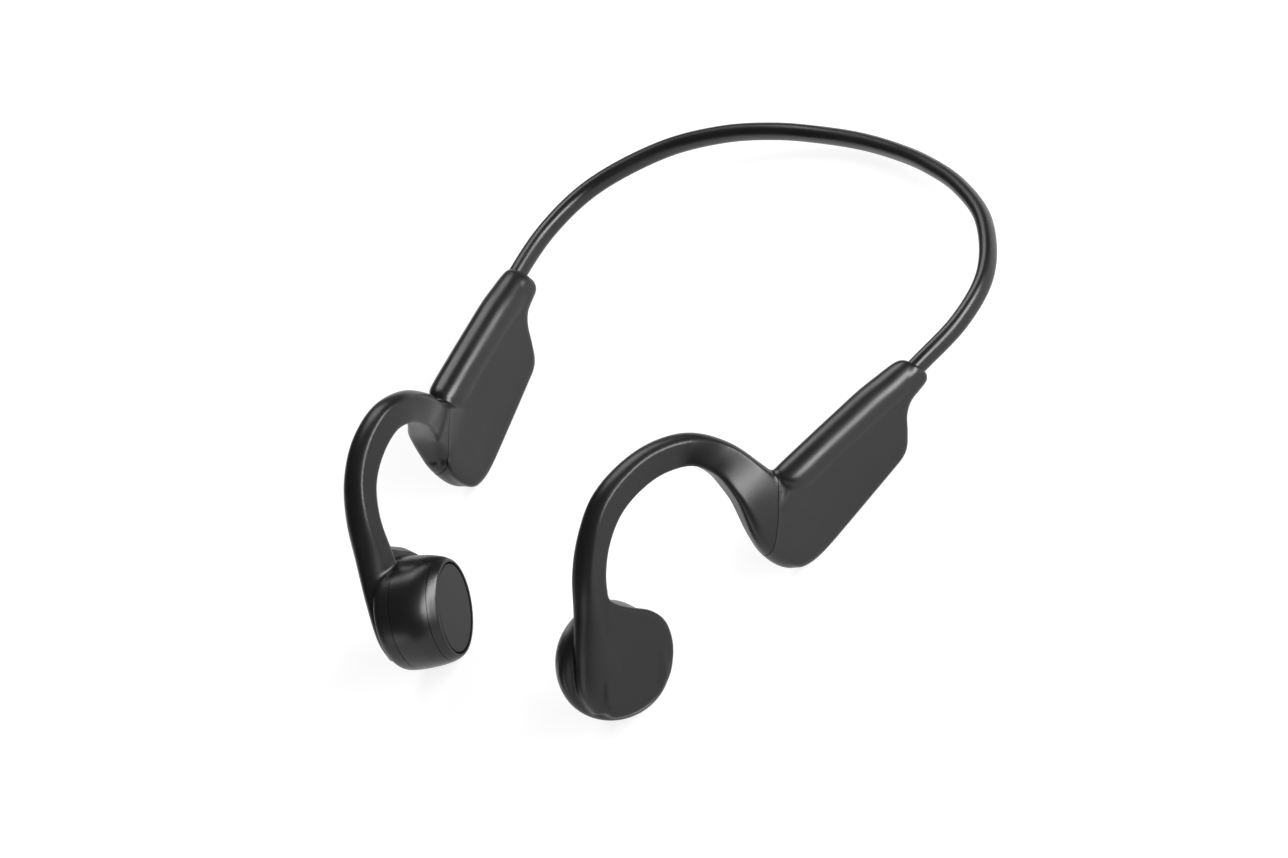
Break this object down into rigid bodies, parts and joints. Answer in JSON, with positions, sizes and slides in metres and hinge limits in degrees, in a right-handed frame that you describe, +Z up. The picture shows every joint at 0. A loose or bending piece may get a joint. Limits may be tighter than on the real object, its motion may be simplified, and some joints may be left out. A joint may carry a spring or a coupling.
{
  "type": "bone conduction headphones",
  "caption": "Bone conduction headphones: a sprung neckband joins slim pods whose ear hooks curve forward to oval transducers with flat contact pads.",
  "frame": {"origin": "middle of the bounding box at floor level, where the pods rest", "axes": "+X towards the wearer's left, +Y backwards to the middle of the neckband, +Z up, away from the surface that the set rests on"},
  "size_m": [0.1698, 0.1698, 0.051],
  "materials": {
    "silicone_skin": "satin",
    "satin_housing": "satin",
    "gloss_housing": "gloss",
    "pad_skin": "matte",
    "spring_wire": "satin",
    "lead": "satin",
    "steel": "brushed",
    "magnet": "plated",
    "copper": "enamelled wire",
    "circuit_board": "solder mask",
    "chip": "moulded",
    "bare_metal": "satin",
    "light_guide": "clear"
  },
  "bodies": {
    "neckband": {"band_back_sleeve": "silicone_skin", "band_back_wire": "spring_wire", "band_back_lead": "lead"},
    "left_arm": {"left_band_sleeve": "silicone_skin", "left_band_wire": "spring_wire", "left_band_lead": "lead", "left_pod_shell": "satin_housing", "left_underside_cover": "satin_housing", "left_ear_hook": "silicone_skin", "left_hook_wire": "spring_wire", "left_hook_lead": "lead", "left_transducer_case": "gloss_housing", "left_transducer_bezel": "gloss_housing", "left_leaf_spring": "steel", "left_magnet_yoke": "steel", "left_magnet": "magnet", "left_pole_plate": "steel", "battery_cell": "bare_metal", "battery_circuit": "circuit_board"},
    "right_arm": {"right_band_sleeve": "silicone_skin", "right_band_wire": "spring_wire", "right_band_lead": "lead", "right_pod_shell": "satin_housing", "right_underside_cover": "satin_housing", "right_ear_hook": "silicone_skin", "right_hook_wire": "spring_wire", "right_hook_lead": "lead", "right_transducer_case": "gloss_housing", "right_transducer_bezel": "gloss_housing", "right_leaf_spring": "steel", "right_magnet_yoke": "steel", "right_magnet": "magnet", "right_pole_plate": "steel", "main_board": "circuit_board", "wireless_module": "bare_metal", "board_screw_1": "steel", "board_screw_2": "steel", "power_switch": "chip", "volume_up_switch": "chip", "volume_down_switch": "chip", "microphone": "steel", "light_guide": "light_guide", "charge_socket": "bare_metal"},
    "left_diaphragm": {"left_contact_pad": "pad_skin", "left_drive_plate": "steel", "left_voice_coil": "copper"},
    "right_diaphragm": {"right_contact_pad": "pad_skin", "right_drive_plate": "steel", "right_voice_coil": "copper"},
    "power_key_body": {"power_key": "satin_housing"},
    "volume_up_key_body": {"volume_up_key": "satin_housing"},
    "volume_down_key_body": {"volume_down_key": "satin_housing"},
    "socket_flap_body": {"socket_flap": "silicone_skin"}
  },
  "joints": [
    {"name": "left_arm_flex", "type": "hinge", "parent": "neckband", "child": "left_arm", "pos_m": [0.07391, 0.05978, 0.00831], "axis": [0, 0, 1], "range_deg": [-4, 12], "stiffness_Nm_per_rad": 1.2},
    {"name": "right_arm_flex", "type": "hinge", "parent": "neckband", "child": "right_arm", "pos_m": [-0.07391, 0.05978, 0.00831], "axis": [0, 0, -1], "range_deg": [-4, 12], "stiffness_Nm_per_rad": 1.2},
    {"name": "left_diaphragm_stroke", "type": "slide", "parent": "left_arm", "child": "left_diaphragm", "axis": [-0.8792, 0.4288, -0.2079], "range_m": [-0.00025, 0.00025], "stiffness_N_per_m": 3000},
    {"name": "right_diaphragm_stroke", "type": "slide", "parent": "right_arm", "child": "right_diaphragm", "axis": [0.8792, 0.4288, -0.2079], "range_m": [-0.00025, 0.00025], "stiffness_N_per_m": 3000},
    {"name": "power_key_press", "type": "slide", "parent": "right_arm", "child": "power_key_body", "axis": [0, 0, 1], "range_m": [0, 0.0005], "stiffness_N_per_m": 1500},
    {"name": "volume_up_key_press", "type": "slide", "parent": "right_arm", "child": "volume_up_key_body", "axis": [0, 0, 1], "range_m": [0, 0.0005], "stiffness_N_per_m": 1500},
    {"name": "volume_down_key_press", "type": "slide", "parent": "right_arm", "child": "volume_down_key_body", "axis": [0, 0, 1], "range_m": [0, 0.0005], "stiffness_N_per_m": 1500},
    {"name": "socket_flap_hinge", "type": "hinge", "parent": "right_arm", "child": "socket_flap_body", "pos_m": [-0.0769, 0.01416, 0.00888], "axis": [0.9715, 0.237, 0], "range_deg": [0, 95]}
  ]
}
